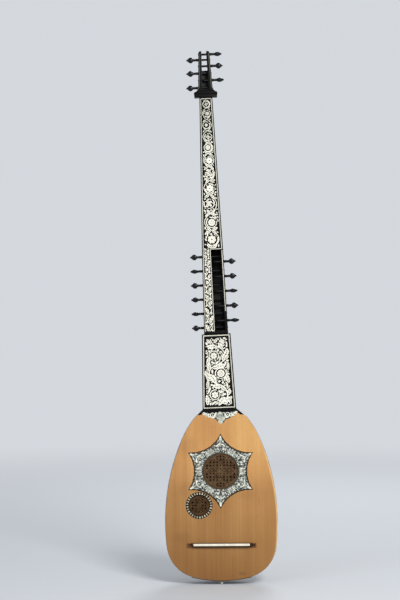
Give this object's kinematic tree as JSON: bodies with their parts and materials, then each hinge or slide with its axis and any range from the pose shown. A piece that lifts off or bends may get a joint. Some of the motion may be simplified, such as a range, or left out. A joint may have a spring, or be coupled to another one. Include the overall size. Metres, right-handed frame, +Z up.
{
  "type": "theorbo",
  "caption": "Long-necked bass lute with two pegboxes, turning pegs, ribbed bowl back, spruce soundboard with two pierced roses in an inlaid star and ring, and scroll-inlaid ivory panels.",
  "frame": {"origin": "middle of the flat foot of the end button, the lowest point of the upright instrument", "axes": "+Z up the length from the end button to the upper pegbox, -Y out of the soundboard towards the viewer, +X to the viewer's right (treble side)"},
  "size_m": [0.3926, 0.1775, 1.8427],
  "materials": {
    "soundboard_spruce": "aged varnished spruce with straight upright grain, satin",
    "inner_spruce": "bare planed spruce",
    "rib_wood": "dark varnished hardwood ribs, semi-gloss",
    "ebony": "polished black ebony",
    "neck_ebony": "ebony veneer, polished",
    "peg_ebony": "turned ebony, semi-gloss",
    "bridge_wood": "dark stained hardwood",
    "rose_wood": "pierced dark brown wood, matte",
    "ivory": "polished ivory with black scroll engraving",
    "bone": "polished bone",
    "pearl": "mother-of-pearl pieces in dark mastic"
  },
  "bodies": {
    "theorbo": {"arm": "ebony", "arm_panel": "ivory", "arm_veneer": "ebony", "bar_1": "inner_spruce", "bar_2": "inner_spruce", "bar_3": "inner_spruce", "bar_4": "inner_spruce", "bar_5": "inner_spruce", "bar_6": "inner_spruce", "beard_inlay": "pearl", "bridge": "bridge_wood", "bridge_cap": "bone", "cheek_stringing": "ivory", "collar": "ebony", "end_button": "ivory", "end_clasp": "ebony", "fingerboard": "ebony", "fingerboard_frame": "ivory", "fingerboard_panel": "ivory", "lower_nut": "ebony", "neck": "neck_ebony", "neck_block": "inner_spruce", "rib_01": "rib_wood", "rib_02": "rib_wood", "rib_03": "rib_wood", "rib_04": "rib_wood", "rib_05": "rib_wood", "rib_06": "rib_wood", "rib_07": "rib_wood", "rib_08": "rib_wood", "rib_09": "rib_wood", "rib_10": "rib_wood", "rib_11": "rib_wood", "rose_main": "rose_wood", "rose_small": "rose_wood", "small_rose_ring": "pearl", "soundboard": "soundboard_spruce", "star_border": "ebony", "star_panel": "pearl", "tail_block": "inner_spruce", "upper_nut": "ebony", "upper_pegbox": "ebony"},
    "peg_lower_left_1": {"peg_lower_left_1": "peg_ebony"},
    "peg_lower_left_2": {"peg_lower_left_2": "peg_ebony"},
    "peg_lower_left_3": {"peg_lower_left_3": "peg_ebony"},
    "peg_lower_left_4": {"peg_lower_left_4": "peg_ebony"},
    "peg_lower_left_5": {"peg_lower_left_5": "peg_ebony"},
    "peg_lower_left_6": {"peg_lower_left_6": "peg_ebony"},
    "peg_lower_right_1": {"peg_lower_right_1": "peg_ebony"},
    "peg_lower_right_2": {"peg_lower_right_2": "peg_ebony"},
    "peg_lower_right_3": {"peg_lower_right_3": "peg_ebony"},
    "peg_lower_right_4": {"peg_lower_right_4": "peg_ebony"},
    "peg_lower_right_5": {"peg_lower_right_5": "peg_ebony"},
    "peg_upper_left_1": {"peg_upper_left_1": "peg_ebony"},
    "peg_upper_left_2": {"peg_upper_left_2": "peg_ebony"},
    "peg_upper_left_3": {"peg_upper_left_3": "peg_ebony"},
    "peg_upper_right_1": {"peg_upper_right_1": "peg_ebony"},
    "peg_upper_right_2": {"peg_upper_right_2": "peg_ebony"},
    "peg_upper_right_3": {"peg_upper_right_3": "peg_ebony"}
  },
  "joints": [
    {"name": "turn_peg_lower_left_1", "type": "hinge", "parent": "theorbo", "child": "peg_lower_left_1", "pos_m": [-0.0625, 0.0035, 1.13119], "axis": [0.9993, 0, 0.0384], "continuous": true},
    {"name": "turn_peg_lower_left_2", "type": "hinge", "parent": "theorbo", "child": "peg_lower_left_2", "pos_m": [-0.06146, 0.0035, 1.0822], "axis": [0.9993, 0, 0.0384], "continuous": true},
    {"name": "turn_peg_lower_left_3", "type": "hinge", "parent": "theorbo", "child": "peg_lower_left_3", "pos_m": [-0.06043, 0.0035, 1.0332], "axis": [0.9993, 0, 0.0384], "continuous": true},
    {"name": "turn_peg_lower_left_4", "type": "hinge", "parent": "theorbo", "child": "peg_lower_left_4", "pos_m": [-0.05939, 0.0035, 0.9842], "axis": [0.9993, 0, 0.0384], "continuous": true},
    {"name": "turn_peg_lower_left_5", "type": "hinge", "parent": "theorbo", "child": "peg_lower_left_5", "pos_m": [-0.05836, 0.0035, 0.93521], "axis": [0.9993, 0, 0.0384], "continuous": true},
    {"name": "turn_peg_lower_left_6", "type": "hinge", "parent": "theorbo", "child": "peg_lower_left_6", "pos_m": [-0.05732, 0.0035, 0.88621], "axis": [0.9993, 0, 0.0384], "continuous": true},
    {"name": "turn_peg_lower_right_1", "type": "hinge", "parent": "theorbo", "child": "peg_lower_right_1", "pos_m": [0.01244, 0.0035, 1.11606], "axis": [0.9993, 0, 0.0384], "continuous": true},
    {"name": "turn_peg_lower_right_2", "type": "hinge", "parent": "theorbo", "child": "peg_lower_right_2", "pos_m": [0.01528, 0.0035, 1.06513], "axis": [0.9993, 0, 0.0384], "continuous": true},
    {"name": "turn_peg_lower_right_3", "type": "hinge", "parent": "theorbo", "child": "peg_lower_right_3", "pos_m": [0.01811, 0.0035, 1.0142], "axis": [0.9993, 0, 0.0384], "continuous": true},
    {"name": "turn_peg_lower_right_4", "type": "hinge", "parent": "theorbo", "child": "peg_lower_right_4", "pos_m": [0.02095, 0.0035, 0.96327], "axis": [0.9993, 0, 0.0384], "continuous": true},
    {"name": "turn_peg_lower_right_5", "type": "hinge", "parent": "theorbo", "child": "peg_lower_right_5", "pos_m": [0.02379, 0.0035, 0.91234], "axis": [0.9993, 0, 0.0384], "continuous": true},
    {"name": "turn_peg_upper_left_1", "type": "hinge", "parent": "theorbo", "child": "peg_upper_left_1", "pos_m": [-0.07216, 0.001, 1.81236], "axis": [0.9993, 0, 0.0384], "continuous": true},
    {"name": "turn_peg_upper_left_2", "type": "hinge", "parent": "theorbo", "child": "peg_upper_left_2", "pos_m": [-0.07247, 0.001, 1.76576], "axis": [0.9993, 0, 0.0384], "continuous": true},
    {"name": "turn_peg_upper_left_3", "type": "hinge", "parent": "theorbo", "child": "peg_upper_left_3", "pos_m": [-0.0728, 0.001, 1.71579], "axis": [0.9993, 0, 0.0384], "continuous": true},
    {"name": "turn_peg_upper_right_1", "type": "hinge", "parent": "theorbo", "child": "peg_upper_right_1", "pos_m": [-0.03272, 0.001, 1.83229], "axis": [0.9993, 0, 0.0384], "continuous": true},
    {"name": "turn_peg_upper_right_2", "type": "hinge", "parent": "theorbo", "child": "peg_upper_right_2", "pos_m": [-0.02934, 0.001, 1.79191], "axis": [0.9993, 0, 0.0384], "continuous": true},
    {"name": "turn_peg_upper_right_3", "type": "hinge", "parent": "theorbo", "child": "peg_upper_right_3", "pos_m": [-0.02526, 0.001, 1.74307], "axis": [0.9993, 0, 0.0384], "continuous": true}
  ]
}
